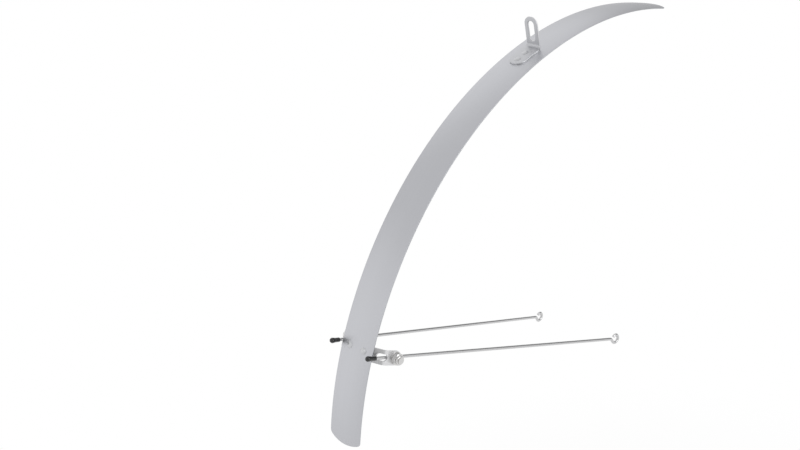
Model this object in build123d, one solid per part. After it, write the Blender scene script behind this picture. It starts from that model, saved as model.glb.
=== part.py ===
from build123d import *
import math
import os

# Sizes are in millimetres, angles in degrees. Everything is made round the wheel's axle,
# with the fork tab upright behind it, and moved to the fork slot at the end.

# Blade: one rolled strip, crowned across, both ends cut to an arc.
edge_radius = 365.0  # axle to the outer face along the blade's edges
blade_width = 39.4
blade_sheet = 0.8
crown_rise = 1.6  # middle of the outer face above its edges
front_angle = 23.9  # upright line through the axle forward to the front end
rear_angle = 73.3  # the same line back to the rear end
end_sag = 4.8  # depth of the arc at each end
end_corner = 5.0

# Fork bracket: slotted tab, bend, and a base that widens to a round pad.
bracket_sheet = 1.5
slot_width = 7.0  # for an M6 bolt
slot_length = 19.9
slot_rise = 6.5  # blade's crown to the slot's lower end
tab_margin = 4.1  # metal round the slot
tab_setback = 37.3  # axle back to the tab's front face
bracket_bend = 2.5  # inner radius
front_rivet = 13.5  # tab's front face back to the first rivet
rivet_pitch = 11.0
pad_edge = 7.5  # second rivet back to the end of the pad
pad_flare = 2.5  # pad wider than the neck, on each side
neck_fillet = 24.0

# Rivets: low dome on top, flat tail below.
rivet_shank = 4.0
rivet_head = 6.6
rivet_dome = 0.7
rivet_tail = 6.0
rivet_tail_height = 0.9

# Stay bridge: strip under the blade, with a sloping leg and an upright ear at each end.
bridge_angle = 58.84  # upright line back to the bridge
bridge_width = 13.7
bridge_sheet = 1.2
bridge_contact = 15.5  # the strip follows the crown as far out as this
leg_start = 18.3  # middle of the blade out to the top of the leg
leg_slope = 36.0
bridge_bend = 5.5  # radius along the middle of the sheet
bridge_rivet = 9.0  # rivet off the middle of the blade
ear_end = 6.4  # bolt down to the ear's round end
ear_slot_width = 6.4
ear_slot_rise = 9.5  # bolt up to the lower end of the slot
ear_slot_reach = 3.6  # stay's middle inward to the inner end of the slot

# Clamps: an eye bolt in each ear, with its washer and self-locking nut.
bolt_drop = 20.0  # blade's edge radius down to the bolt
stay_gap = 6.3  # blade's edge outward to the stay's middle, at the bolt
splay = 4.56  # stay leans outward towards the axle
bolt_head = 9.0
bolt_back = 1.6  # head's metal behind the cross hole
bolt_web = 0.35  # head's metal between the cross hole and the ear
bolt_round = 0.8
bolt_shank = 6.0
bolt_end = 0.8  # shank proud of the nut
washer_diameter = 12.0
washer_sheet = 1.0
washer_bore = 6.4
nut_flats = 10.0
nut_hex_height = 4.2
nut_collar = 8.8
nut_collar_height = 2.0
nut_round = 1.0

# Stays: straight wire with an open eye at the axle end.
wire = 3.0
stay_length = 307.9  # bolt to the middle of the eye
left_lift = 1.73  # turn of each stay in its ear, eye towards the fork tab
right_lift = 3.38
eye_bore = 5.6
eye_land = 0.05  # depth of the flat pressed into the eye
eye_entry = 40.0  # turn of the wire before the eye
eye_bend = 5.0
eye_wrap = 280.0

# End caps: pushed over the outer ends of the stays.
cap_lift = 0.3  # cap's mouth beyond the blade's edge radius
cap_length = 11.2
cap_grip = 8.5  # length of wire inside the cap
cap_sleeve = 4.2
cap_bulge = 0.5  # round end larger than the sleeve, on each side
cap_blend = 2.0
cap_lip = 0.3

# Clearances.
face_gap = 0.05  # between faces that lie on each other
hollow_gap = 0.1  # under the blade, whose hollow side meets flat pieces at their rims
rivet_clearance = 0.05  # on the radius
bolt_clearance = 0.05
wire_clearance = 0.05
trim = 10.0  # cutters run past the metal by this much

# Derived sizes.
crown_radius = blade_width**2 / (8 * crown_rise)  # of the parabola, at its top
crown_top = edge_radius + crown_rise
crown_centre = crown_top - crown_radius
foot_height = math.sqrt(crown_top**2 - tab_setback**2)
foot_angle = math.degrees(math.asin(tab_setback / crown_top))
slot_height = foot_height + slot_rise + slot_length / 2
tab_width = slot_width + 2 * tab_margin
pad_length = front_rivet + rivet_pitch + pad_edge
pad_radius = tab_width / 2 + pad_flare
base_radius = crown_top + face_gap + bracket_sheet / 2
bridge_seat = hollow_gap + bridge_width**2 / (8 * edge_radius)
bridge_depth = blade_sheet + bridge_seat
bridge_radius = crown_radius - bridge_depth - bridge_sheet / 2
bolt_radius = edge_radius - bolt_drop
stay_offset = blade_width / 2 + stay_gap
head_face = wire / 2 + wire_clearance + bolt_web
ear_face = head_face + face_gap
washer_face = ear_face + bridge_sheet + face_gap
nut_face = washer_face + washer_sheet + face_gap
nut_height = nut_hex_height + nut_collar_height
bolt_tip = nut_face + nut_height + bolt_end
eye_radius = eye_bore / 2 - eye_land + wire / 2
cap_mouth = (bolt_drop + cap_lift) / math.cos(math.radians(splay))


def spoke(angle):
    """Placement that turns things straight above the axle back round it by an angle."""
    return Rotation(0, -angle, 0)


def crown_spot(angle, offset):
    """Placement on the blade's outer face, Z along the face's normal, off the middle by an offset."""
    lean = math.degrees(math.asin(offset / crown_radius))
    return spoke(angle) * Pos(0, 0, crown_centre) * Rotation(-lean, 0, 0) * Pos(0, 0, crown_radius)


def base_angle(distance):
    """Angle round the axle for a distance back from the tab along the bracket's base."""
    return foot_angle + math.degrees(distance / base_radius)


def clamp_place():
    """Placement at the left bolt: X along the ear towards the axle, Z outward along the bolt."""
    lean = math.radians(splay)
    along = (0, math.sin(lean), -math.cos(lean))
    outward = (0, math.cos(lean), math.sin(lean))
    return spoke(bridge_angle) * Plane((0, stay_offset, bolt_radius), along, outward).location


fork_rivet_spots = (
    crown_spot(base_angle(front_rivet), 0),
    crown_spot(base_angle(front_rivet + rivet_pitch), 0),
)
bridge_rivet_spots = (
    crown_spot(bridge_angle, bridge_rivet),
    crown_spot(bridge_angle, -bridge_rivet),
)


def rivet_hole(spot):
    """Hole for a rivet, long enough for every sheet at its spot."""
    return spot * Cylinder(rivet_shank / 2 + rivet_clearance, 2 * trim)


def end_waste():
    """Waste round an arc-cut end: the end's tip is at the origin and the blade runs towards +X."""
    arc_radius = (blade_width**2 / 4 + end_sag**2) / (2 * end_sag)
    reach = end_sag + end_corner
    stock = Pos(reach / 2, 0) * Rectangle(reach, blade_width)
    nose = stock & (Pos(arc_radius, 0) * Circle(arc_radius))
    corners = nose.vertices().group_by(Axis.X)[-2]
    nose = fillet(corners, end_corner)
    waste = Pos((reach - trim) / 2, 0) * Rectangle(reach + trim, blade_width + 2 * trim)
    return extrude(waste - nose, trim, both=True)


def crown_line(sink):
    """Parabola across the blade, sunk below its outer face."""
    half = blade_width / 2
    edge = edge_radius - sink
    return Bezier((-half, edge), (0, edge + 2 * crown_rise), (half, edge))


def make_blade():
    """Crowned strip turned round the axle, with cut ends and rivet holes."""
    top = crown_line(0)
    bottom = crown_line(blade_sheet)
    sides = [Line(top @ 0, bottom @ 0), Line(top @ 1, bottom @ 1)]
    section = Plane.YZ * make_face(Curve() + [top, bottom] + sides)
    spare = math.degrees(trim / 2 / edge_radius)
    start = spoke(rear_angle + spare) * section
    blade = revolve(start, Axis.Y, front_angle + rear_angle + 2 * spare)
    blade -= spoke(rear_angle) * Pos(0, 0, edge_radius) * end_waste()
    blade -= spoke(-front_angle) * Pos(0, 0, edge_radius) * Rotation(0, 0, 180) * end_waste()
    for spot in fork_rivet_spots + bridge_rivet_spots:
        blade -= rivet_hole(spot)
    return blade


def make_fork_bracket():
    """Sheet bent to an L, trimmed from above, rounded at the top of the tab, slotted and drilled."""
    bend = bracket_bend + bracket_sheet / 2
    tab_x = tab_setback + bracket_sheet / 2
    bend_x = tab_x + bend
    bend_z = math.sqrt((base_radius + bend) ** 2 - bend_x**2)
    seat_angle = math.degrees(math.atan2(bend_x, bend_z))
    slot_top = slot_height + (slot_length - slot_width) / 2
    tab_end = slot_top + tab_width / 2 + trim
    tab_line = Line((-tab_x, tab_end), (-tab_x, bend_z))
    bend_line = JernArc(tab_line @ 1, tab_line % 1, bend, seat_angle - 90)
    base_sweep = base_angle(pad_length + trim) - seat_angle
    base_line = JernArc(bend_line @ 1, bend_line % 1, base_radius, base_sweep)
    profile = Plane.XZ * trace(Curve() + [tab_line, bend_line, base_line], bracket_sheet)
    bracket = extrude(profile, pad_radius + trim, both=True)

    pad_x = pad_radius - pad_length
    neck = Pos((pad_x + trim) / 2, 0) * Rectangle(trim - pad_x, tab_width)
    outline = neck + Pos(pad_x, 0) * Circle(pad_radius)
    outline = fillet(outline.vertices().group_by(Axis.X)[0], neck_fillet)
    plate = Rectangle(2 * (pad_length + 2 * trim), 2 * (pad_radius + 2 * trim)) - outline
    low = base_radius - trim
    bracket -= spoke(foot_angle) * extrude(Pos(0, 0, low) * plate, tab_end + trim - low)

    tab_face = Plane.YZ.offset(-tab_setback)
    crop = Pos(0, tab_width) * Rectangle(tab_width + trim, 2 * tab_width)
    crop -= Circle(tab_width / 2)
    bracket -= extrude(tab_face * (Pos(0, slot_top) * crop), trim, both=True)
    slot = Pos(0, slot_height) * SlotOverall(slot_length, slot_width, rotation=90)
    bracket -= extrude(tab_face * slot, trim, both=True)
    for spot in fork_rivet_spots:
        bracket -= rivet_hole(spot)
    return bracket


def make_rivet(top, bottom):
    """Rivet along Z that holds what lies between two heights over the blade's outer face."""
    head_z = top + face_gap
    tail_z = bottom - hollow_gap
    head = rivet_head / 2
    shank = rivet_shank / 2
    tail = rivet_tail / 2
    dome_radius = (head**2 + rivet_dome**2) / (2 * rivet_dome)
    foot = (0, tail_z - rivet_tail_height)
    side = Polyline(
        (0, head_z + rivet_dome),
        foot,
        (tail, tail_z - rivet_tail_height),
        (tail, tail_z),
        (shank, tail_z),
        (shank, head_z),
        (head, head_z),
    )
    lean = math.asin(head / dome_radius) / 2
    dome_z = head_z + rivet_dome - dome_radius
    middle = (dome_radius * math.sin(lean), dome_z + dome_radius * math.cos(lean))
    dome = ThreePointArc((head, head_z), middle, (0, head_z + rivet_dome))
    return revolve(Plane.XZ * make_face(Curve() + [side, dome]), Axis.Z)


def ear_cutters():
    """Bolt hole of the left ear and the slot that lets the stay through the leg."""
    hole = Cylinder(bolt_shank / 2 + bolt_clearance, 4 * (ear_face + bridge_sheet))
    half = ear_slot_width / 2
    length = bolt_drop + trim
    inner = half - ear_slot_reach
    outline = Pos(-ear_slot_rise - half - length / 2, 0) * Rectangle(length, ear_slot_width)
    outline += Pos(-ear_slot_rise - half, 0) * Circle(half)
    slot = extrude(Pos(0, 0, inner) * outline, trim - inner)
    end = Pos(-ear_slot_rise - half, 0, inner) * Rotation(0, -90, 0)
    slot += end * Cylinder(half, length, align=(Align.CENTER, Align.CENTER, Align.MIN))
    return clamp_place() * hole, clamp_place() * slot


def make_bridge():
    """Strip along the crown's underside, bent to legs and ears, slotted and drilled."""
    lean = math.radians(splay)
    middle = ear_face + bridge_sheet / 2
    lift = bridge_width / 2 - ear_end
    ear_y = stay_offset + middle * math.cos(lean) - lift * math.sin(lean)
    ear_z = bolt_radius + middle * math.sin(lean) + lift * math.cos(lean)
    slope = math.asin(bridge_contact / bridge_radius)
    leave_z = crown_centre + bridge_radius * math.cos(slope)
    shoulder_z = leave_z - (leg_start - bridge_contact) * math.tan(slope)
    # the leg's line outward meets the ear's line upward at the knee
    fall = math.radians(leg_slope)
    gap_y = ear_y - leg_start
    gap_z = ear_z - shoulder_z
    leg = (gap_y * math.cos(lean) + gap_z * math.sin(lean)) / math.cos(fall + lean)
    knee = (leg_start + leg * math.cos(fall), shoulder_z - leg * math.sin(fall))
    bends = ((ear_y, ear_z), knee, (leg_start, shoulder_z), (bridge_contact, leave_z))
    half = FilletPolyline(*bends, radius=bridge_bend)
    crown = ThreePointArc(
        (bridge_contact, leave_z), (0, crown_centre + bridge_radius), (-bridge_contact, leave_z)
    )
    path = Curve() + [half, crown, mirror(half, about=Plane.YZ)]
    strip = extrude(Plane.YZ * trace(path, bridge_sheet), bridge_width / 2, both=True)
    bridge = spoke(bridge_angle) * strip
    disc = Pos(-lift, 0, ear_face) * Cylinder(
        bridge_width / 2, bridge_sheet, align=(Align.CENTER, Align.CENTER, Align.MIN)
    )
    ear = clamp_place() * disc
    bridge = bridge + ear + mirror(ear, about=Plane.XZ)
    for cutter in ear_cutters():
        bridge = bridge - cutter - mirror(cutter, about=Plane.XZ)
    for spot in bridge_rivet_spots:
        bridge -= rivet_hole(spot)
    return bridge


def make_eye_bolt():
    """Round head with a cross hole along X and a shank outward along Z."""
    back = wire / 2 + wire_clearance + bolt_back
    up = (Align.CENTER, Align.CENTER, Align.MIN)
    head = Pos(0, 0, -back) * Cylinder(bolt_head / 2, back + head_face, align=up)
    head = fillet(head.edges().group_by(Axis.Z)[0], bolt_round)
    shank = Pos(0, 0, head_face) * Cylinder(bolt_shank / 2, bolt_tip - head_face, align=up)
    cross = Rotation(0, 90, 0) * Cylinder(wire / 2 + wire_clearance, 2 * bolt_head)
    return head + shank - cross


def make_washer():
    """Plain washer outside the ear."""
    ring = Circle(washer_diameter / 2) - Circle(washer_bore / 2)
    return extrude(Pos(0, 0, washer_face) * ring, washer_sheet)


def make_nut():
    """Hexagon with turned corners and a round locking collar."""
    flat = nut_flats / 2
    corner = flat / math.cos(math.radians(30))
    bevel = (corner - flat) * math.tan(math.radians(30))
    collar = nut_collar / 2
    outline = Polyline(
        (0, 0),
        (flat, 0),
        (corner, bevel),
        (corner, nut_hex_height - bevel),
        (flat, nut_hex_height),
        (collar, nut_hex_height),
        (collar, nut_height),
        (0, nut_height),
        close=True,
    )
    turned = revolve(Plane.XZ * make_face(outline), Axis.Z)
    turned = fillet(turned.edges().group_by(Axis.Z)[-1], nut_round)
    nut = turned & extrude(RegularPolygon(corner, 6), nut_height)
    nut -= Cylinder(bolt_shank / 2 + bolt_clearance, 4 * nut_height)
    return Pos(0, 0, nut_face) * nut


def make_stay():
    """Wire along X from inside its cap to the open eye, coined to a true bore."""
    turn = math.radians(eye_entry)
    drop = eye_bend * (1 - math.cos(turn))
    short = (eye_radius * math.cos(turn) - drop) / math.sin(turn)
    run = (eye_radius + eye_bend) * math.sin(turn) + short * math.cos(turn)
    straight = Line((-cap_mouth - cap_grip, 0), (stay_length - run, 0))
    bend = JernArc(straight @ 1, straight % 1, eye_bend, eye_entry)
    link = Line(bend @ 1, bend @ 1 + (bend % 1) * short)
    loop = JernArc(link @ 1, link % 1, eye_radius, -eye_wrap)
    section = Plane(straight @ 0, z_dir=straight % 0) * Circle(wire / 2)
    stay = sweep(section, Curve() + [straight, bend, link, loop])
    return stay - Pos(stay_length, 0, 0) * Cylinder(eye_bore / 2, 2 * wire)


def make_end_cap():
    """Sleeve with a round end along -X, blind bored for the wire."""
    sleeve = cap_sleeve / 2
    bulb = sleeve + cap_bulge
    body_length = cap_length - bulb
    outward = Rotation(0, -90, 0)
    up = (Align.CENTER, Align.CENTER, Align.MIN)
    body = Cylinder(sleeve, body_length, align=up) + Pos(0, 0, body_length) * Sphere(bulb)
    rims = body.edges().filter_by(GeomType.CIRCLE).sort_by(Axis.Z)
    body = fillet(rims[1], cap_blend)
    body = fillet(body.edges().filter_by(GeomType.CIRCLE).sort_by(Axis.Z)[0], cap_lip)
    body -= Cylinder(wire / 2 + wire_clearance, cap_grip + face_gap, align=up)
    return Pos(-cap_mouth, 0, 0) * outward * body


fork_top = bracket_sheet + face_gap
bridge_bottom = -bridge_depth - bridge_sheet
nodes = {
    "blade": make_blade(),
    "fork_bracket": make_fork_bracket(),
    "fork_bracket_rivet_front": fork_rivet_spots[0] * make_rivet(fork_top, -blade_sheet),
    "fork_bracket_rivet_rear": fork_rivet_spots[1] * make_rivet(fork_top, -blade_sheet),
    "stay_bridge": make_bridge(),
    "bridge_rivet_left": bridge_rivet_spots[0] * make_rivet(0, bridge_bottom),
    "bridge_rivet_right": bridge_rivet_spots[1] * make_rivet(0, bridge_bottom),
}
for side, lift in (("left", left_lift), ("right", right_lift)):
    turned = clamp_place() * Rotation(0, 0, -lift)
    pieces = {
        "eye_bolt": turned * make_eye_bolt(),
        "clamp_washer": clamp_place() * make_washer(),
        "clamp_nut": clamp_place() * make_nut(),
        "stay": turned * make_stay(),
        "end_cap": turned * make_end_cap(),
    }
    for name, piece in pieces.items():
        placed = piece if side == "left" else mirror(piece, about=Plane.XZ)
        nodes[name + "_" + side] = placed

os.makedirs("parts", exist_ok=True)
for name, piece in nodes.items():
    solid = (Pos(tab_setback, 0, -slot_height) * piece).solid()
    export_step(solid, "parts/" + name + ".step")
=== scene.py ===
import logging
import math
from dataclasses import dataclass
from enum import Enum
from typing import Any

import bmesh
import bpy
import numpy as np
from mathutils import Matrix, Vector


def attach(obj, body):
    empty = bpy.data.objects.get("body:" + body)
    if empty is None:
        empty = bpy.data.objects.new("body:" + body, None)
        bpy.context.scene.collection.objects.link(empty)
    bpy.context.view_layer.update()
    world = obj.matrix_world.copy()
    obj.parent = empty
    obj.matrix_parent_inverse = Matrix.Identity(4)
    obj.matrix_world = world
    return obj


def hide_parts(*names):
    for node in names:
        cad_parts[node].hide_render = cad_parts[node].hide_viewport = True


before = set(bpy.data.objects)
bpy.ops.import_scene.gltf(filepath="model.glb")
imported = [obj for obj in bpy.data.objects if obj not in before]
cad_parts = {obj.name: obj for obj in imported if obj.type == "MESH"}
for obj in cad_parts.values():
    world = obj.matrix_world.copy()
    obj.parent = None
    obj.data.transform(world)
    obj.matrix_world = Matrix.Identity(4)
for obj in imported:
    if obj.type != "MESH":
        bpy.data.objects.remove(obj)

log = logging.getLogger("mudguard")

# Sizes are in millimetres, which MM turns into metres. AXLE and MERGE_WITHIN are in metres.
MM = 0.001
EDGE_RADIUS = 365.0
BLADE_HALF = 19.7
CROWN_RISE = 1.6
CROWN_TOP = EDGE_RADIUS + CROWN_RISE
TAB_SETBACK = 37.3
SLOT_RISE = 6.5
SLOT_LENGTH = 19.9
SLOT_HEIGHT = math.sqrt(CROWN_TOP**2 - TAB_SETBACK**2) + SLOT_RISE + SLOT_LENGTH / 2
AXLE = (TAB_SETBACK * MM, 0.0, -SLOT_HEIGHT * MM)
MERGE_WITHIN = 1e-7

Triple = tuple[float, float, float]
Colour = Triple

WHITE = (1.0, 1.0, 1.0, 1.0)


class Side(Enum):
    """Left or right of the wheel, with the sign of Y there."""

    LEFT = 1
    RIGHT = -1

    @property
    def word(self) -> str:
        """The side's name as the nodes and bodies use it."""
        return self.name.lower()


STAY_LIFTS = {Side.LEFT: 1.73, Side.RIGHT: 3.38}


class Value:
    """A node's output socket whose Python operators add Math nodes."""

    def __init__(self, shader: "Shader", socket: bpy.types.NodeSocket) -> None:
        """Keeps the socket together with the shader that it belongs to."""
        self.shader = shader
        self.socket = socket

    def _math(self, operation: str, first: Any, second: Any) -> "Value":
        """Adds one Math node.

        Args:
            operation: Blender's name of the operation.
            first: value or number for the first input.
            second: value or number for the second input.

        Returns:
            The node's result.
        """
        return self.shader.node("ShaderNodeMath", {"operation": operation}, {0: first, 1: second})

    def __add__(self, other: Any) -> "Value":
        """This plus the other."""
        return self._math("ADD", self, other)

    def __radd__(self, other: Any) -> "Value":
        """The other plus this."""
        return self._math("ADD", other, self)

    def __sub__(self, other: Any) -> "Value":
        """This minus the other."""
        return self._math("SUBTRACT", self, other)

    def __rsub__(self, other: Any) -> "Value":
        """The other minus this."""
        return self._math("SUBTRACT", other, self)

    def __mul__(self, other: Any) -> "Value":
        """This times the other."""
        return self._math("MULTIPLY", self, other)

    def __rmul__(self, other: Any) -> "Value":
        """The other times this."""
        return self._math("MULTIPLY", other, self)

    def __or__(self, other: Any) -> "Value":
        """The larger of this and the other."""
        return self._math("MAXIMUM", self, other)

    def __ror__(self, other: Any) -> "Value":
        """The larger of the other and this."""
        return self._math("MAXIMUM", other, self)


class Shader:
    """The node tree of one material or of the world."""

    def __init__(self, tree: bpy.types.NodeTree) -> None:
        """Empties the tree, so that it holds only what is added here."""
        self.tree = tree
        tree.nodes.clear()

    def node(
        self,
        kind: str,
        settings: dict[str, Any] | None = None,
        inputs: dict[str | int, Any] | None = None,
        output: str | int = 0,
    ) -> Value:
        """Adds one node of any type.

        Args:
            kind: Blender's node type.
            settings: the node's own properties, which are set first.
            inputs: a number, colour or Value for each named or numbered socket.
            output: name or number of the socket that is returned.

        Returns:
            The chosen output, or the node's first input where it has no output.
        """
        made = self.tree.nodes.new(kind)
        for key, setting in (settings or {}).items():
            setattr(made, key, setting)
        for key, given in (inputs or {}).items():
            if isinstance(given, Value):
                self.tree.links.new(given.socket, made.inputs[key])
            else:
                made.inputs[key].default_value = given
        return Value(self, made.outputs[output] if len(made.outputs) else made.inputs[0])

    def noise(self, where: Value, scale: float, detail: float = 2.0) -> Value:
        """Even noise from 0 to 1.

        Args:
            where: coordinates, in metres on Object coordinates.
            scale: waves in one unit of the coordinates.
            detail: octaves.

        Returns:
            The noise value.
        """
        return self.node(
            "ShaderNodeTexNoise", None, {"Vector": where, "Scale": scale, "Detail": detail}
        )

    def place(self) -> Value:
        """Object coordinates, in metres."""
        return self.node("ShaderNodeTexCoord", None, None, "Object")

    def strip(self, stretch: Triple) -> Value:
        """The piece's own UV map, stretched.

        Args:
            stretch: factor along the piece, across it, and nothing.

        Returns:
            The stretched coordinates.
        """
        flat = self.node("ShaderNodeTexCoord", None, None, "UV")
        return self.node("ShaderNodeMapping", None, {"Vector": flat, "Scale": stretch})

    def between(self, share: Value, low: Colour, high: Colour) -> Value:
        """Colour between two others.

        Args:
            share: 0 for the first colour, 1 for the second.
            low: first colour.
            high: second colour.

        Returns:
            The mixed colour.
        """
        return self.node(
            "ShaderNodeMix",
            {"data_type": "RGBA"},
            {0: share, 6: (*low, 1.0), 7: (*high, 1.0)},
            2,
        )

    def bump(self, height: Value, distance: float, strength: float) -> Value:
        """Normal of a fine relief.

        Args:
            height: relief from 0 to 1.
            distance: its depth in metres.
            strength: share of the relief that shows.

        Returns:
            The bent normal.
        """
        return self.node(
            "ShaderNodeBump", None, {"Height": height, "Distance": distance, "Strength": strength}
        )

    def around(self, mean: float, *swings: tuple[Value, float]) -> Value:
        """A value that swings round its mean: each noise, from 0 to 1, adds its own width.

        Args:
            mean: the middle value.
            swings: each noise and the width of its swing.

        Returns:
            The value.
        """
        low = mean - sum(width for _, width in swings) / 2
        return sum((noise * width for noise, width in swings), low)

    def surface(self, inputs: dict[str, Any]) -> None:
        """Adds the Principled shader and the output.

        Args:
            inputs: the shader's sockets.
        """
        skin = self.node("ShaderNodeBsdfPrincipled", None, inputs)
        self.node("ShaderNodeOutputMaterial", None, {"Surface": skin})

    def metal(self, colour: Colour, contrast: float, tone: Value, roughness: Value, normal: Value) -> None:
        """Adds a metal surface.

        Args:
            colour: its mean colour.
            contrast: how far the colour swings to each side, as a share of itself.
            tone: 0 where it is darkest, 1 where it is lightest.
            roughness: its roughness.
            normal: its normal.
        """
        self.surface({
            "Base Color": self.between(tone, shade(colour, 1 - contrast), shade(colour, 1 + contrast)),
            "Metallic": 1.0,
            "Roughness": roughness,
            "Normal": normal,
        })


def shade(colour: Colour, factor: float) -> Colour:
    """A colour made lighter or darker.

    Args:
        colour: linear colour.
        factor: 1 keeps it.

    Returns:
        The new colour.
    """
    return tuple(part * factor for part in colour)


def new_shader(name: str) -> tuple[bpy.types.Material, Shader]:
    """A new empty material.

    Args:
        name: the material's name.

    Returns:
        The material and its shader.
    """
    material = bpy.data.materials.new(name)
    material.use_nodes = True
    return material, Shader(material.node_tree)


@dataclass(frozen=True)
class SatinSheet:
    """Rolled and blasted aluminium sheet: even grain, faint rolling streaks, soft cloudiness."""

    name: str
    colour: Colour
    roughness: float = 0.42
    contrast: float = 0.07
    grain_scale: float = 2600.0
    cloud_scale: float = 45.0
    streak_stretch: Triple = (6.0, 900.0, 1.0)
    grain_tone: float = 0.45
    cloud_tone: float = 0.25
    streak_tone: float = 0.3
    grain_rough: float = 0.1
    cloud_rough: float = 0.06
    relief_depth: float = 0.00004
    relief_share: float = 0.35

    def material(self) -> bpy.types.Material:
        """Builds the material; streaks follow the UV map, which is in metres along and across.

        Returns:
            The material.
        """
        material, shader = new_shader(self.name)
        where = shader.place()
        grain = shader.noise(where, self.grain_scale, 3.0)
        cloud = shader.noise(where, self.cloud_scale)
        streak = shader.noise(shader.strip(self.streak_stretch), 1.0)
        shader.metal(
            self.colour,
            self.contrast,
            grain * self.grain_tone + cloud * self.cloud_tone + streak * self.streak_tone,
            shader.around(self.roughness, (grain, self.grain_rough), (cloud, self.cloud_rough)),
            shader.bump(grain, self.relief_depth, self.relief_share),
        )
        return material


@dataclass(frozen=True)
class PressedSteel:
    """Stamped steel with a satin plating: fine grain and a soft cloud of handling marks."""

    name: str
    colour: Colour
    roughness: float = 0.34
    contrast: float = 0.08
    grain_scale: float = 3200.0
    cloud_scale: float = 160.0
    grain_tone: float = 0.5
    cloud_tone: float = 0.5
    grain_rough: float = 0.06
    cloud_rough: float = 0.16
    relief_depth: float = 0.00003
    relief_share: float = 0.25

    def material(self) -> bpy.types.Material:
        """Builds the material on Object coordinates.

        Returns:
            The material.
        """
        material, shader = new_shader(self.name)
        where = shader.place()
        grain = shader.noise(where, self.grain_scale)
        cloud = shader.noise(where, self.cloud_scale, 3.0)
        shader.metal(
            self.colour,
            self.contrast,
            grain * self.grain_tone + cloud * self.cloud_tone,
            shader.around(self.roughness, (cloud, self.cloud_rough), (grain, self.grain_rough)),
            shader.bump(grain, self.relief_depth, self.relief_share),
        )
        return material


@dataclass(frozen=True)
class DrawnWire:
    """Bright drawn wire: streaks along its length and a mirror-like skin."""

    name: str
    colour: Colour
    roughness: float = 0.2
    contrast: float = 0.1
    cloud_scale: float = 220.0
    streak_stretch: Triple = (25.0, 1400.0, 1.0)
    streak_tone: float = 0.6
    cloud_tone: float = 0.4
    streak_rough: float = 0.1
    cloud_rough: float = 0.06
    relief_depth: float = 0.00002
    relief_share: float = 0.2

    def material(self) -> bpy.types.Material:
        """Builds the material; streaks follow the UV map, in metres along and around.

        Returns:
            The material.
        """
        material, shader = new_shader(self.name)
        streak = shader.noise(shader.strip(self.streak_stretch), 1.0, 3.0)
        cloud = shader.noise(shader.place(), self.cloud_scale)
        shader.metal(
            self.colour,
            self.contrast,
            streak * self.streak_tone + cloud * self.cloud_tone,
            shader.around(self.roughness, (streak, self.streak_rough), (cloud, self.cloud_rough)),
            shader.bump(streak, self.relief_depth, self.relief_share),
        )
        return material


@dataclass(frozen=True)
class GlossRubber:
    """Dipped black cap: glossy skin with a slight orange peel and dust."""

    name: str
    colour: Colour
    dust: Colour
    roughness: float = 0.2
    peel_scale: float = 900.0
    speck_scale: float = 4000.0
    peel_tone: float = 0.5
    speck_tone: float = 0.2
    peel_rough: float = 0.12
    speck_rough: float = 0.08
    mirror: float = 0.5
    coat: float = 0.3
    coat_rough: float = 0.08
    relief_depth: float = 0.00003
    relief_share: float = 0.2

    def material(self) -> bpy.types.Material:
        """Builds the material on Object coordinates.

        Returns:
            The material.
        """
        material, shader = new_shader(self.name)
        where = shader.place()
        peel = shader.noise(where, self.peel_scale, 1.0)
        speck = shader.noise(where, self.speck_scale)
        dusty = peel * self.peel_tone + speck * self.speck_tone
        shader.surface({
            "Base Color": shader.between(dusty, self.colour, self.dust),
            "Metallic": 0.0,
            "Roughness": shader.around(self.roughness, (peel, self.peel_rough), (speck, self.speck_rough)),
            "Specular IOR Level": self.mirror,
            "Coat Weight": self.coat,
            "Coat Roughness": self.coat_rough,
            "Normal": shader.bump(peel, self.relief_depth, self.relief_share),
        })
        return material


def to_frame(points: np.ndarray) -> np.ndarray:
    """Millimetres round the wheel's axle to metres in the shared frame at the fork slot.

    Args:
        points: any array whose last axis is x, y, z.

    Returns:
        The moved points.
    """
    return points * MM + np.array(AXLE)


def grid_quads(rows: int, columns: int, wrap: bool) -> np.ndarray:
    """Corner numbers of a grid's quads.

    Args:
        rows: points down the grid.
        columns: points across it, numbered first.
        wrap: whether the last column joins the first.

    Returns:
        One row of four corners for each quad.
    """
    row = np.arange(rows - 1)[:, None]
    column = np.arange(columns if wrap else columns - 1)[None, :]
    after = (column + 1) % columns
    corners = (
        row * columns + column,
        row * columns + after,
        (row + 1) * columns + after,
        (row + 1) * columns + column,
    )
    return np.stack(np.broadcast_arrays(*corners), -1).reshape(-1, 4)


def edge_rings(sheet: float, upper: float, lower: float, steps: int) -> np.ndarray:
    """Inset and depth of the rings round a sheet's edge: quarter arc, wall, quarter arc.

    Args:
        sheet: thickness of the sheet.
        upper: radius of the edge on its upper face.
        lower: radius of the edge on its lower face.
        steps: steps in each quarter arc.

    Returns:
        Inset of the outline and depth below the upper face, for each ring.
    """
    turn = np.linspace(0.0, math.pi / 2, steps + 1)[1:]
    arc = np.stack((1 - np.sin(turn), 1 - np.cos(turn)), -1)
    return np.concatenate((arc * upper, arc[::-1] * (lower, -lower) + (0.0, sheet)))


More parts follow.
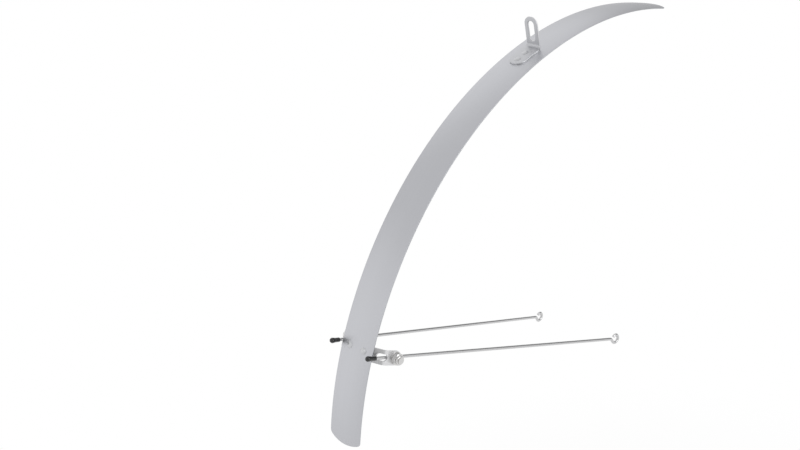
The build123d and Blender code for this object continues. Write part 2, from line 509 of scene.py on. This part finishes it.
def new_piece(
    name: str,
    points: np.ndarray,
    quads: np.ndarray,
    flat: np.ndarray | None = None,
    close_poles: bool = False,
) -> bpy.types.Object:
    """A smooth mesh object from whole arrays.

    Args:
        name: the piece's name.
        points: one row for each vertex, in metres.
        quads: one row of four vertex numbers for each face.
        flat: UV coordinates of each vertex, if the finish needs them.
        close_poles: whether rings shrunk to a point are merged.

    Returns:
        The linked object.
    """
    mesh = bpy.data.meshes.new(name)
    mesh.vertices.add(len(points))
    mesh.vertices.foreach_set("co", points.astype(np.float32).ravel())
    mesh.loops.add(quads.size)
    mesh.loops.foreach_set("vertex_index", quads.astype(np.int32).ravel())
    mesh.polygons.add(len(quads))
    mesh.polygons.foreach_set("loop_start", np.arange(0, quads.size, 4, dtype=np.int32))
    mesh.update(calc_edges=True)
    if flat is not None:
        layer = mesh.uv_layers.new(name="flat")
        layer.uv.foreach_set("vector", flat[quads.ravel()].astype(np.float32).ravel())
    mesh.validate()
    if close_poles:
        shell = bmesh.new()
        shell.from_mesh(mesh)
        bmesh.ops.remove_doubles(shell, verts=shell.verts, dist=MERGE_WITHIN)
        shell.to_mesh(mesh)
        shell.free()
    mesh.polygons.foreach_set("use_smooth", np.ones(len(mesh.polygons), dtype=bool))
    piece = bpy.data.objects.new(name, mesh)
    bpy.context.scene.collection.objects.link(piece)
    return piece


def dress(piece: bpy.types.Object, *materials: bpy.types.Material) -> None:
    """Gives an object these materials in place of what it had.

    Args:
        piece: the object.
        materials: its materials, in the order of its slots.
    """
    # Clearing also puts every face back in the first slot, so a new piece is only added to.
    if piece.data.materials:
        piece.data.materials.clear()
    for material in materials:
        piece.data.materials.append(material)


def dress_nodes(material: bpy.types.Material, *names: str) -> None:
    """Gives one material to whole nodes of the frame.

    Args:
        material: the finish.
        names: the nodes.
    """
    for name in names:
        dress(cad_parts[name], material)
        log.info("node %s wears %s", name, material.name)


@dataclass
class Blade:
    """The rolled blade, in millimetres and degrees round the wheel's axle."""

    half: float = BLADE_HALF
    sheet: float = 0.8
    front_angle: float = 23.9
    rear_angle: float = 73.3
    rear_sag: float = 4.8
    rear_corner: float = 5.0
    front_sag: float = 8.0
    front_corner: float = 9.0
    edge_round: float = 0.2
    first_row: float = 0.0006
    second_row: float = 0.004
    steps_along: int = 240
    steps_across: int = 36
    steps_round: int = 4

    def end_depth(self, y: np.ndarray, inset: float, sag: float, corner: float) -> np.ndarray:
        """How far the cut end lies behind its tip: a wide arc that a small one joins to each side.

        Args:
            y: places across the blade.
            inset: distance that the outline is drawn in.
            sag: depth of the wide arc at the blade's sides.
            corner: radius of the small arc.

        Returns:
            Depth behind the tip at each place.
        """
        arc = (self.half**2 + sag**2) / (2 * sag)
        corner_y = self.half - corner
        corner_x = arc - math.sqrt((arc - corner) ** 2 - corner_y**2)
        join = corner_y * (arc - inset) / (arc - corner)
        wide = arc - np.sqrt(np.maximum((arc - inset) ** 2 - y**2, 0.0))
        beside = np.maximum(np.abs(y) - corner_y, 0.0)
        small = corner_x - np.sqrt(np.maximum((corner - inset) ** 2 - beside**2, 0.0))
        return np.where(np.abs(y) <= join, wide, small)

    def point(
        self, along: np.ndarray, across: np.ndarray, inset: float, depth: float
    ) -> tuple[np.ndarray, np.ndarray]:
        """A point of the sheet: a parabola across, turned round the axle between the two cut ends.

        Args:
            along: 0 at the rear end, 1 at the front end.
            across: -1 at the right edge, 1 at the left edge.
            inset: distance that the outline is drawn in.
            depth: distance below the outer face.

        Returns:
            The points in metres and their flat coordinates in metres.
        """
        y = across * (self.half - inset)
        radius = EDGE_RADIUS + CROWN_RISE * (1 - (y / self.half) ** 2)
        rear_cut = self.end_depth(y, inset, self.rear_sag, self.rear_corner)
        front_cut = self.end_depth(y, inset, self.front_sag, self.front_corner)
        rear = math.radians(self.rear_angle) - np.arcsin(rear_cut / radius)
        front = math.radians(-self.front_angle) + np.arcsin(front_cut / radius)
        angle = rear + (front - rear) * along
        reach = radius - depth
        points = np.stack((-reach * np.sin(angle), y, reach * np.cos(angle)), -1)
        flat = np.stack((angle * EDGE_RADIUS * MM, y * MM), -1)
        return to_frame(points), flat

    def build(self) -> bpy.types.Object:
        """Makes the closed sheet: outer grid, rings round its edge, inner grid.

        Returns:
            The blade.
        """
        body = np.linspace(self.second_row, 1 - self.second_row, self.steps_along - 3)
        along = np.concatenate(([0.0, self.first_row], body, [1 - self.first_row, 1.0]))
        across = np.sin(np.linspace(-math.pi / 2, math.pi / 2, self.steps_across + 1))
        rows, columns = len(along), len(across)
        grid_along, grid_across = np.meshgrid(along, across, indexing="ij")
        number = np.arange(rows * columns).reshape(rows, columns)
        loop = np.concatenate((number[:-1, 0], number[-1, :-1], number[:0:-1, -1], number[0, :0:-1]))
        loop_along, loop_across = grid_along.ravel()[loop], grid_across.ravel()[loop]

        outer, outer_flat = self.point(grid_along.ravel(), grid_across.ravel(), self.edge_round, 0.0)
        inner, inner_flat = self.point(
            grid_along.ravel(), grid_across.ravel(), self.edge_round, self.sheet
        )
        rim = edge_rings(self.sheet, self.edge_round, self.edge_round, self.steps_round)
        rings = [self.point(loop_along, loop_across, inset, depth) for inset, depth in rim]
        points = np.concatenate([outer, inner] + [ring[0] for ring in rings])
        flat = np.concatenate([outer_flat, inner_flat] + [ring[1] for ring in rings])

        face = grid_quads(rows, columns, False)
        count, around = rows * columns, len(loop)
        order = [loop]
        order += [2 * count + np.arange(around) + around * step for step in range(len(rings))]
        order += [loop + count]
        belt = np.stack(order)
        edge = belt.ravel()[grid_quads(len(order), around, True)]
        quads = np.concatenate((face[:, ::-1], face + count, edge[:, ::-1]))
        return new_piece("blade_sheet", points, quads, flat)

    def dress(self, skin: SatinSheet) -> None:
        """Builds the blade over its node and dresses it.

        Args:
            skin: finish of the whole sheet.
        """
        piece = self.build()
        dress(piece, skin.material())
        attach(piece, "guard")
        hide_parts("blade")
        log.info("piece %s, %d faces", piece.name, len(piece.data.polygons))


@dataclass
class ForkBracket:
    """The bent plate on top of the blade: slotted tab up, tongue to the rear, laid on the crown."""

    sheet: float = 1.5
    bend: float = 2.5
    gap: float = 0.05
    slot_width: float = 7.0
    tab_half: float = 7.59
    foot_half: float = 9.7
    foot_reach: float = 5.0
    tongue_half: float = 9.0
    tongue_waist: float = 13.0
    tongue_reach: float = 32.0
    foot_flare: float = 1.5
    edge_round: float = 0.6
    edge_burr: float = 0.08
    steps_round: int = 4
    steps_arc: int = 16
    steps_side: int = 14
    steps_tongue: int = 46
    steps_end: int = 18
    steps_face: int = 64

    @property
    def seat_radius(self) -> float:
        """Distance from the axle to the middle of the tongue's sheet."""
        return CROWN_TOP + self.gap + self.sheet / 2

    @property
    def bend_radius(self) -> float:
        """Radius of the bend at the middle of the sheet."""
        return self.bend + self.sheet / 2

    @property
    def seat_angle(self) -> float:
        """Angle round the axle at which the bend ends, in radians."""
        centre = TAB_SETBACK + self.sheet + self.bend
        return math.asin(centre / (self.seat_radius + self.bend_radius))

    @property
    def bend_length(self) -> float:
        """Length of the bend along the middle of the sheet."""
        return self.bend_radius * (math.pi / 2 - self.seat_angle)

    @property
    def bend_height(self) -> float:
        """Height of the bend's centre above the axle."""
        return (self.seat_radius + self.bend_radius) * math.cos(self.seat_angle)

    def reach(self, behind: float) -> float:
        """Length along the flattened plate from the bend's start to a place behind the tab's front.

        Args:
            behind: distance behind the tab's front face, along the blade.

        Returns:
            The length.
        """
        foot = math.asin(TAB_SETBACK / CROWN_TOP)
        return self.bend_length + (foot - self.seat_angle) * self.seat_radius + behind

    def place(self, along: np.ndarray, across: np.ndarray, depth: np.ndarray) -> np.ndarray:
        """Points of the plate: a straight, a bend and an arc round the axle, sunk by the blade's crown.

        Args:
            along: length from the bend's start, up the tab if negative.
            across: distance to the left.
            depth: distance below the upper face.

        Returns:
            The points in metres in the shared frame.
        """
        turn = np.clip(along, 0.0, self.bend_length) / self.bend_radius
        angle = self.seat_angle + np.maximum(along - self.bend_length, 0.0) / self.seat_radius
        behind = along > self.bend_length
        centre = TAB_SETBACK + self.sheet + self.bend
        x = np.where(behind, -self.seat_radius * np.sin(angle), self.bend_radius * np.cos(turn) - centre)
        z = np.where(
            behind,
            self.seat_radius * np.cos(angle),
            self.bend_height - self.bend_radius * np.sin(turn) + np.maximum(-along, 0.0),
        )
        out_x = np.where(behind, -np.sin(angle), -np.cos(turn))
        out_z = np.where(behind, np.cos(angle), np.sin(turn))
        share = np.clip(along / self.bend_length, 0.0, 1.0)
        sink = CROWN_RISE * (across / BLADE_HALF) ** 2 * share**2 * (3 - 2 * share)
        out = self.sheet / 2 - depth - sink
        return to_frame(np.stack((x + out * out_x, across, z + out * out_z), -1))

    def half_width(self, along: np.ndarray) -> np.ndarray:
        """Half the plate's width: the tab's, the wider foot's and the tongue's, joined by cosines.

        Args:
            along: length from the bend's start.

        Returns:
            Half the width at each place.
        """
        foot, waist = self.reach(self.foot_reach), self.reach(self.tongue_waist)
        widen = np.clip(along / foot, 0.0, 1.0) ** self.foot_flare
        narrow = np.clip((along - foot) / (waist - foot), 0.0, 1.0)
        rise = (self.foot_half - self.tab_half) * (1 - np.cos(math.pi * widen)) / 2
        fall = (self.foot_half - self.tongue_half) * (1 - np.cos(math.pi * narrow)) / 2
        return self.tab_half + rise - fall

    def outlines(self, inset: float) -> tuple[np.ndarray, np.ndarray]:
        """Outlines of the slot and of the flattened plate, point for point: arcs and sides.

        Args:
            inset: distance that both outlines are drawn into the sheet.

        Returns:
            Length along and distance across of each point, for the slot and for the plate.
        """
        half_slot = (SLOT_LENGTH - self.slot_width) / 2
        top = self.bend_height - SLOT_HEIGHT - half_slot
        low = self.bend_height - SLOT_HEIGHT + half_slot
        end = self.reach(self.tongue_reach) - self.tongue_half
        slot, tab = self.slot_width / 2 + inset, self.tab_half - inset
        turn = np.linspace(0.0, math.pi / 2, self.steps_arc + 1)
        side = np.linspace(top, low, self.steps_side + 1)[1:]
        fan = np.linspace(0.0, math.pi / 2, self.steps_tongue + self.steps_end + 1)[1:]
        tongue = np.linspace(low, end, self.steps_tongue + 1)[1:]
        round_end = np.linspace(0.0, math.pi / 2, self.steps_end + 1)[1:]
        tip = self.tongue_half - inset
        hole = np.stack((
            np.concatenate((top - slot * np.cos(turn), side, low + slot * np.sin(fan))),
            np.concatenate((slot * np.sin(turn), np.full_like(side, slot), slot * np.cos(fan))),
        ), -1)
        plate = np.stack((
            np.concatenate((top - tab * np.cos(turn), side, tongue, end + tip * np.sin(round_end))),
            np.concatenate((
                tab * np.sin(turn),
                np.full_like(side, tab),
                self.half_width(tongue) - inset,
                tip * np.cos(round_end),
            )),
        ), -1)
        mirror = np.array([1.0, -1.0])
        return (
            np.concatenate((hole, hole[-2:0:-1] * mirror)),
            np.concatenate((plate, plate[-2:0:-1] * mirror)),
        )

    def build(self) -> bpy.types.Object:
        """Makes the closed plate: upper face, outer edge, lower face and the slot's edge in one belt.

        Returns:
            The plate, with its cut wall in the second material slot; that wall is painted lighter, partly
            bright cut metal and partly painted fill light.
        """
        share = np.linspace(0.0, 1.0, self.steps_face + 1)[:, None, None]
        faces = []
        for inset in (self.edge_round, self.edge_burr):
            hole, plate = self.outlines(inset)
            faces.append(hole + (plate - hole) * share)
        rim = edge_rings(self.sheet, self.edge_round, self.edge_burr, self.steps_round)
        outer = np.stack([self.outlines(inset)[1] for inset in rim[:, 0]])
        inner = np.stack([self.outlines(inset)[0] for inset in rim[::-1, 0]])
        belt = np.concatenate((faces[0], outer, faces[1][::-1], inner))
        flat = np.zeros(len(share))
        depth = np.concatenate((flat, rim[:, 1], flat + self.sheet, rim[::-1, 1]))
        around = belt.shape[1]
        points = self.place(
            belt[..., 0], belt[..., 1], np.broadcast_to(depth[:, None], belt.shape[:2])
        ).reshape(-1, 3)
        quads = grid_quads(len(belt) + 1, around, True)[:, ::-1] % len(points)
        piece = new_piece("bracket_plate", points, quads)
        # The shears leave the wall below the rounded edge. That wall is painted lighter than the plate:
        # partly bright cut metal, partly painted fill light that lifts the shade along the plate's edge,
        # while the rounded edge keeps the plate's colour.
        below = np.minimum(depth, np.roll(depth, -1)) > self.edge_round - self.edge_burr
        wall = below & (depth < self.sheet)
        piece.data.polygons.foreach_set("material_index", np.repeat(wall, around).astype(np.int32))
        return piece

    def dress(self, plate: PressedSteel, sheared_and_fill_lit: PressedSteel) -> None:
        """Builds the bracket over its node and dresses it.

        Args:
            plate: finish of the two faces.
            sheared_and_fill_lit: finish of the wall that the shears left, lighter than the plate: partly
                bright cut metal, partly painted fill light over the shade along the plate's edge.
        """
        piece = self.build()
        dress(piece, plate.material(), sheared_and_fill_lit.material())
        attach(piece, "guard")
        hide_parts("fork_bracket")
        log.info("piece %s, %d faces", piece.name, len(piece.data.polygons))


@dataclass
class Fittings:
    """Stay bridge and rivets, whose solids already have their true form."""

    rivets: tuple[str, ...] = (
        "fork_bracket_rivet_front",
        "fork_bracket_rivet_rear",
        "bridge_rivet_left",
        "bridge_rivet_right",
    )

    def dress(self, zinc: PressedSteel, rivet: PressedSteel) -> None:
        """Dresses the bridge and the rivets.

        Args:
            zinc: finish of the stay bridge.
            rivet: finish of the rivets.
        """
        dress_nodes(zinc.material(), "stay_bridge")
        dress_nodes(rivet.material(), *self.rivets)


@dataclass
class Clamp:
    """Eye bolt, washer and nut in one ear of the bridge, and the place that they share."""

    side: Side
    bridge_angle: float = 58.84
    bolt_drop: float = 20.0
    stay_offset: float = 26.0
    splay: float = 4.56

    def place(self, along: np.ndarray, down: np.ndarray, out: np.ndarray) -> np.ndarray:
        """Points in the clamp's own axes, turned round the axle to the bridge.

        Args:
            along: distance from the bolt along the ear towards the axle.
            down: distance to the rear, across the ear.
            out: distance outward along the bolt.

        Returns:
            The points in metres in the shared frame.
        """
        lean = math.radians(self.splay)
        y = self.stay_offset + along * math.sin(lean) + out * math.cos(lean)
        z = EDGE_RADIUS - self.bolt_drop - along * math.cos(lean) + out * math.sin(lean)
        turn = math.radians(self.bridge_angle)
        x = -down * math.cos(turn) - z * math.sin(turn)
        up = -down * math.sin(turn) + z * math.cos(turn)
        return to_frame(np.stack((x, y * self.side.value, up), -1))

    def dress(self, metal: PressedSteel) -> None:
        """Dresses the clamp's nodes.

        Args:
            metal: their finish.
        """
        parts = ("eye_bolt", "clamp_washer", "clamp_nut")
        dress_nodes(metal.material(), *(part + "_" + self.side.word for part in parts))


@dataclass
class Stay:
    """One wire stay with its open eye and its end cap."""

    clamp: Clamp
    lift: float
    wire: float = 3.0
    length: float = 307.9
    eye_bore: float = 5.6
    eye_land: float = 0.05
    eye_entry: float = 40.0
    eye_bend: float = 5.0
    eye_wrap: float = 280.0
    end_round: float = 0.35
    cap_lift: float = 0.3
    cap_length: float = 11.2
    cap_grip: float = 8.5
    cap_sleeve: float = 4.2
    cap_bulge: float = 0.4
    cap_lip: float = 0.3
    cap_play: float = 0.05
    cap_step: float = 0.1
    cap_neck: float = 0.38
    steps_around: int = 28
    steps_straight: int = 60
    steps_bend: int = 14
    steps_eye: int = 72
    steps_end: int = 5
    steps_lip: int = 6
    steps_neck: int = 14

    @property
    def cap_mouth(self) -> float:
        """Distance from the bolt out to the cap's mouth, along the wire."""
        return (self.clamp.bolt_drop + self.cap_lift) / math.cos(math.radians(self.clamp.splay))

    def place(self, x: np.ndarray, y: np.ndarray, z: np.ndarray) -> np.ndarray:
        """Points in the stay's own axes, swivelled by its lift and put in the clamp.

        Args:
            x: distance from the bolt along the wire.
            y: distance to the rear, across the wire.
            z: distance outward along the bolt.

        Returns:
            The points in metres in the shared frame.
        """
        turn = math.radians(self.lift)
        along = x * math.cos(turn) + y * math.sin(turn)
        down = y * math.cos(turn) - x * math.sin(turn)
        return self.clamp.place(along, down, z)

    def centre_line(self) -> tuple[np.ndarray, np.ndarray, np.ndarray]:
        """The wire's middle: straight, a bend, a short straight, then an open circle round the eye.

        Returns:
            Places along and across, and the heading in radians, of each ring.
        """
        entry = math.radians(self.eye_entry)
        radius = self.eye_bore / 2 - self.eye_land + self.wire / 2
        drop = self.eye_bend * (1 - math.cos(entry))
        short = (radius * math.cos(entry) - drop) / math.sin(entry)
        run = (radius + self.eye_bend) * math.sin(entry) + short * math.cos(entry)
        inner_end = -self.cap_mouth - self.cap_grip
        straight = np.linspace(inner_end, self.length - run, self.steps_straight)
        bend = np.linspace(0.0, entry, self.steps_bend)[1:]
        turn = np.linspace(entry, entry - math.radians(self.eye_wrap), self.steps_eye)
        x = np.concatenate((
            straight,
            self.length - run + self.eye_bend * np.sin(bend),
            self.length - radius * np.sin(turn),
        ))
        y = np.concatenate((
            np.zeros_like(straight),
            self.eye_bend * (1 - np.cos(bend)),
            radius * np.cos(turn),
        ))
        heading = np.concatenate((np.zeros_like(straight), bend, turn))
        return x, y, heading

    def faces_out(self, quads: np.ndarray) -> np.ndarray:
        """Turns faces round on the side that mirrors the other."""
        return quads if self.clamp.side is Side.LEFT else quads[:, ::-1]

    def build_wire(self) -> bpy.types.Object:
        """A circle carried along the middle line, pressed flat inside the eye, with rounded ends.

        Returns:
            The wire.
        """
        x, y, heading = self.centre_line()
        size = np.full(len(x), self.wire / 2)
        turn = np.linspace(0.0, math.pi / 2, self.steps_end)
        shrink = self.wire / 2 - self.end_round * (1 - np.sin(turn))
        ahead = self.end_round * (1 - np.cos(turn))
        ends = (
            (x[0], y[0], heading[0], 1.0),
            (x[-1], y[-1], heading[-1], -1.0),
        )
        parts = []
        for end_x, end_y, end_heading, way in ends:
            cap_x = end_x + way * ahead * math.cos(end_heading)
            cap_y = end_y + way * ahead * math.sin(end_heading)
            hub = np.array([[end_x, end_y, end_heading, 0.0]])
            ring = np.stack((cap_x, cap_y, np.full_like(ahead, end_heading), shrink), -1)
            parts.append(np.concatenate((hub, ring)))
        body = np.stack((x, y, heading, size), -1)[1:-1]
        rings = np.concatenate((parts[0], body, parts[1][::-1]))

        around = np.linspace(0.0, 2 * math.pi, self.steps_around, endpoint=False)
        side = np.cos(around)[None, :] * rings[:, 3:4]
        tube_x = rings[:, 0:1] - side * np.sin(rings[:, 2:3])
        tube_y = rings[:, 1:2] + side * np.cos(rings[:, 2:3])
        tube_z = np.sin(around)[None, :] * rings[:, 3:4]
        away_x, away_y = tube_x - self.length, tube_y
        away = np.hypot(away_x, away_y)
        near = away < self.eye_bore
        press = self.eye_bore / 2 / np.clip(away, self.eye_land, self.eye_bore / 2)
        tube_x = np.where(near, self.length + away_x * press, tube_x)
        tube_y = np.where(near, away_y * press, tube_y)

        steps = np.hypot(np.diff(rings[:, 0]), np.diff(rings[:, 1]))
        travel = np.concatenate(([0.0], np.cumsum(steps)))
        flat_u = np.broadcast_to(travel[:, None] * MM, tube_x.shape)
        flat_v = np.broadcast_to(around[None, :] * self.wire / 2 * MM, tube_x.shape)
        flat = np.stack((flat_u, flat_v), -1).reshape(-1, 2)
        points = self.place(tube_x, tube_y, tube_z).reshape(-1, 3)
        quads = grid_quads(len(rings), self.steps_around, True)
        name = "wire_" + self.clamp.side.word
        return new_piece(name, points, self.faces_out(quads), flat, close_poles=True)

    def cap_profile(self) -> np.ndarray:
        """The cap's outline from its blind bore round the lip to its tip: arcs joined by a cosine blend.

        Returns:
            Distance from the mouth and radius of each ring.
        """
        sleeve = self.cap_sleeve / 2
        bulb = sleeve + self.cap_bulge
        bore = self.wire / 2 + self.cap_play
        turn = np.linspace(0.0, math.pi / 2, self.steps_lip)
        inside = np.array([[self.cap_grip, 0.0], [self.cap_grip, bore], [self.cap_step, bore]])
        lip = np.stack((
            self.cap_lip * (1 - np.sin(turn)),
            sleeve - self.cap_lip * (1 - np.cos(turn)),
        ), -1)[::-1]
        blend = np.linspace(0.0, 1.0, self.steps_neck)
        rise = (1 - np.cos(math.pi * blend)) / 2
        start, stop = self.cap_length * self.cap_neck, self.cap_length - bulb
        neck = np.stack((start + (stop - start) * blend, sleeve + self.cap_bulge * rise), -1)
        dome = np.linspace(0.0, math.pi / 2, self.steps_neck)[1:]
        round_end = np.stack((stop + bulb * np.sin(dome), bulb * np.cos(dome)), -1)
        return np.concatenate((inside, lip, neck, round_end))

    def build_cap(self) -> bpy.types.Object:
        """The cap's outline turned round the wire.

        Returns:
            The cap.
        """
        profile = self.cap_profile()
        around = np.linspace(0.0, 2 * math.pi, self.steps_around, endpoint=False)
        x = np.broadcast_to(-self.cap_mouth - profile[:, 0:1], (len(profile), self.steps_around))
        y = profile[:, 1:2] * np.cos(around)[None, :]
        z = profile[:, 1:2] * np.sin(around)[None, :]
        points = self.place(x, y, z).reshape(-1, 3)
        quads = grid_quads(len(profile), self.steps_around, True)
        name = "cap_" + self.clamp.side.word
        return new_piece(name, points, self.faces_out(quads[:, ::-1]), None, close_poles=True)

    def dress(self, wire: DrawnWire, rubber: GlossRubber) -> None:
        """Builds the wire and the cap over their nodes and dresses them.

        Args:
            wire: finish of the wire.
            rubber: finish of the cap.
        """
        word = self.clamp.side.word
        made = (
            (self.build_wire(), wire, "stay_" + word, "wire"),
            (self.build_cap(), rubber, "end_cap_" + word, "caps"),
        )
        for piece, finish, node, slot in made:
            dress(piece, finish.material())
            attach(piece, "stay_" + word)
            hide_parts(node)
            log.info("piece %s, %d faces", piece.name, len(piece.data.polygons))


@dataclass
class PhotoCamera:
    """The camera, by its angles round the object as it stands in the photograph."""

    azimuth: float = -43.836
    elevation: float = 21.34
    lean: float = 13.4
    place: Triple = (-1.003203, -0.737359, 0.613585)
    lens: float = 55.865
    sensor: float = 36.0

    def build(self) -> None:
        """Makes the camera and leans it, because the tab stands upright in the shared frame."""
        turn, rise = math.radians(self.azimuth), math.radians(self.elevation)
        back = Vector((
            math.sin(turn) * math.cos(rise), -math.cos(turn) * math.cos(rise), math.sin(rise)
        ))
        right = Vector((math.cos(turn), math.sin(turn), 0.0))
        up = back.cross(right)
        axes = Matrix((right, up, back)).transposed().to_4x4()
        spot = Matrix.Translation(Vector(self.place))
        lean = Matrix.Rotation(math.radians(self.lean), 4, "Y")
        axle = Matrix.Translation(AXLE)
        data = bpy.data.cameras.new("photo_camera")
        data.lens = self.lens
        data.sensor_width = self.sensor
        camera = bpy.data.objects.new("photo_camera", data)
        camera.matrix_world = axle @ lean @ spot @ axes
        bpy.context.scene.collection.objects.link(camera)
        bpy.context.scene.camera = camera


@dataclass(frozen=True)
class Softbox:
    """One large soft lamp aimed at the object's middle."""

    name: str
    place: Triple
    size: float
    power: float
    colour: Colour = (1.0, 1.0, 1.0)

    def build(self, target: Vector) -> None:
        """Makes the lamp.

        Args:
            target: point that it faces.
        """
        data = bpy.data.lights.new(self.name, "AREA")
        data.shape = "DISK"
        data.size = self.size
        data.energy = self.power
        data.color = self.colour
        lamp = bpy.data.objects.new(self.name, data)
        lamp.location = self.place
        lamp.rotation_euler = (target - Vector(self.place)).to_track_quat("-Z", "Y").to_euler()
        bpy.context.scene.collection.objects.link(lamp)


@dataclass(frozen=True)
class DarkPatch:
    """A soft dark patch of the room or the floor, which shows only in reflections."""

    toward: Triple
    edge: tuple[float, float]
    dark: float

    def loss(self, shader: Shader) -> Value:
        """Brightness lost in the patch: a smooth step of how far a point lies towards its middle.

        Args:
            shader: the world's, whose Object coordinates are a ray's direction, or the floor's.

        Returns:
            The loss, 0 outside the patch.
        """
        near = shader.node(
            "ShaderNodeVectorMath",
            {"operation": "DOT_PRODUCT"},
            {0: shader.place(), 1: self.toward},
            "Value",
        )
        low, high = self.edge
        return shader.node(
            "ShaderNodeMapRange",
            {"interpolation_type": "SMOOTHSTEP"},
            {"Value": near, "From Min": low, "From Max": high, "To Max": self.dark},
        )


@dataclass
class Studio:
    """Pale floor, white surroundings and soft lamps."""

    floor_height: float = -0.9
    floor_size: float = 40.0
    floor_colour: Colour = (0.9, 0.9, 0.9)
    floor_white: float = 0.85
    floor_fade: tuple[float, float] = (0.9, 1.1)
    ambient: float = 0.75
    mirrored: float = 0.9
    patches: tuple[DarkPatch, ...] = (
        DarkPatch((0.97, -0.06, 0.2), (0.8, 0.95), 0.6),
        DarkPatch((0.74, 0.66, -0.1), (0.87, 0.99), 0.19),
        DarkPatch((-0.87, -0.48, 0.13), (0.84, 0.97), 0.45),
    )
    floor_patches: tuple[DarkPatch, ...] = (
        DarkPatch((0.74, 0.66, 0.0), (0.5, 4.0), 0.17),
        DarkPatch((0.8, -0.6, 0.0), (2.0, 6.0), 0.45),
    )
    target: Triple = (-0.1, 0.0, -0.15)
    lamps: tuple[Softbox, ...] = (
        Softbox("lamp_rear", (-1.75, 1.8, 0.26), 2.2, 3.6),
        Softbox("lamp_far", (1.22, 1.92, 1.22), 2.5, 5.0),
        Softbox("lamp_near", (0.9, -1.9, 0.5), 1.6, 3.0),
        Softbox("lamp_left", (-1.87, 0.03, 0.8), 0.8, 1.7),
        Softbox("lamp_spot", (0.26, -2.02, 0.46), 1.2, 9.0),
    )

    @staticmethod
    def seen(shader: Shader) -> Value:
        """Finds rays from the camera, from a reflection or through something clear.

        Args:
            shader: the shader of the world or the floor.

        Returns:
            1 for such a ray, 0 for any other.
        """
        camera, glossy, clear = (
            shader.node("ShaderNodeLightPath", None, None, name)
            for name in ("Is Camera Ray", "Is Glossy Ray", "Is Transmission Ray")
        )
        return camera | glossy | clear

    def build_world(self) -> None:
        """White where it is seen, a little dimmer in reflections, with dark patches there."""
        world = bpy.data.worlds.new("white_room")
        world.use_nodes = True
        shader = Shader(world.node_tree)
        seen = self.seen(shader)
        glossy = shader.node("ShaderNodeLightPath", None, None, "Is Glossy Ray")
        loss = sum((patch.loss(shader) for patch in self.patches), 1 - self.mirrored)
        strength = seen * (1 - self.ambient) + self.ambient - glossy * loss
        light = shader.node("ShaderNodeBackground", None, {"Color": WHITE, "Strength": strength})
        shader.node("ShaderNodeOutputWorld", None, {"Surface": light})
        bpy.context.scene.world = world

    def build_floor(self) -> None:
        """A wide pale floor that keeps a soft shadow near the object and fades to white further out."""
        half = self.floor_size / 2
        corners = np.array([[-half, -half], [half, -half], [half, half], [-half, half]])
        points = np.column_stack((corners, np.full(4, self.floor_height)))
        floor = new_piece("floor", points, np.array([[0, 1, 2, 3]]))
        material, shader = new_shader("pale_floor")
        far = shader.node(
            "ShaderNodeVectorMath", {"operation": "LENGTH"}, {0: shader.place()}, "Value"
        )
        start, stop = self.floor_fade
        fade = shader.node(
            "ShaderNodeMapRange",
            {"interpolation_type": "SMOOTHSTEP"},
            {"Value": far, "From Min": start, "From Max": stop, "To Min": self.floor_white, "To Max": 1.0},
        )
        lit = shader.node("ShaderNodeBsdfDiffuse", None, {"Color": (*self.floor_colour, 1.0)})
        glossy = shader.node("ShaderNodeLightPath", None, None, "Is Glossy Ray")
        loss = sum(patch.loss(shader) for patch in self.floor_patches)
        white = shader.node("ShaderNodeEmission", None, {"Color": WHITE, "Strength": 1 - glossy * loss})
        mixed = shader.node(
            "ShaderNodeMixShader", None, {0: self.seen(shader) * fade, 1: lit, 2: white}
        )
        shader.node("ShaderNodeOutputMaterial", None, {"Surface": mixed})
        dress(floor, material)

    def build(self) -> None:
        """Builds the room and its lamps."""
        self.build_world()
        self.build_floor()
        for lamp in self.lamps:
            lamp.build(Vector(self.target))
        bpy.context.scene.view_settings.view_transform = "Standard"


def main() -> None:
    """Builds the classes in order."""
    logging.basicConfig(level=logging.INFO, format="%(name)s: %(message)s")
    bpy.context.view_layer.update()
    PhotoCamera().build()
    Studio().build()

    skin = SatinSheet("satin_aluminium", (0.503, 0.508, 0.533))
    plate = PressedSteel("satin_plate", (0.53, 0.535, 0.555), roughness=0.5)
    # The sheared wall's light colour is partly bright cut metal and partly painted fill light, which lifts
    # the shade along the bracket's edge.
    sheared_and_fill_lit = PressedSteel("sheared_edge_fill_lit", (0.74, 0.742, 0.755), roughness=0.45)
    zinc = PressedSteel("pale_zinc", (0.7, 0.7, 0.71))
    rivet = PressedSteel("rivet_aluminium", (0.52, 0.525, 0.54), roughness=0.4)
    bright = PressedSteel("bright_zinc", (0.64, 0.635, 0.63), roughness=0.19)
    wire = DrawnWire("drawn_wire", (0.58, 0.58, 0.585))
    rubber = GlossRubber("gloss_black_cap", (0.004, 0.004, 0.005), (0.012, 0.012, 0.013))

    Blade().dress(skin)
    ForkBracket().dress(plate, sheared_and_fill_lit)
    Fittings().dress(zinc, rivet)
    for side, lift in STAY_LIFTS.items():
        clamp = Clamp(side)
        clamp.dress(bright)
        Stay(clamp, lift).dress(wire, rubber)


if __name__ == "__main__":
    main()
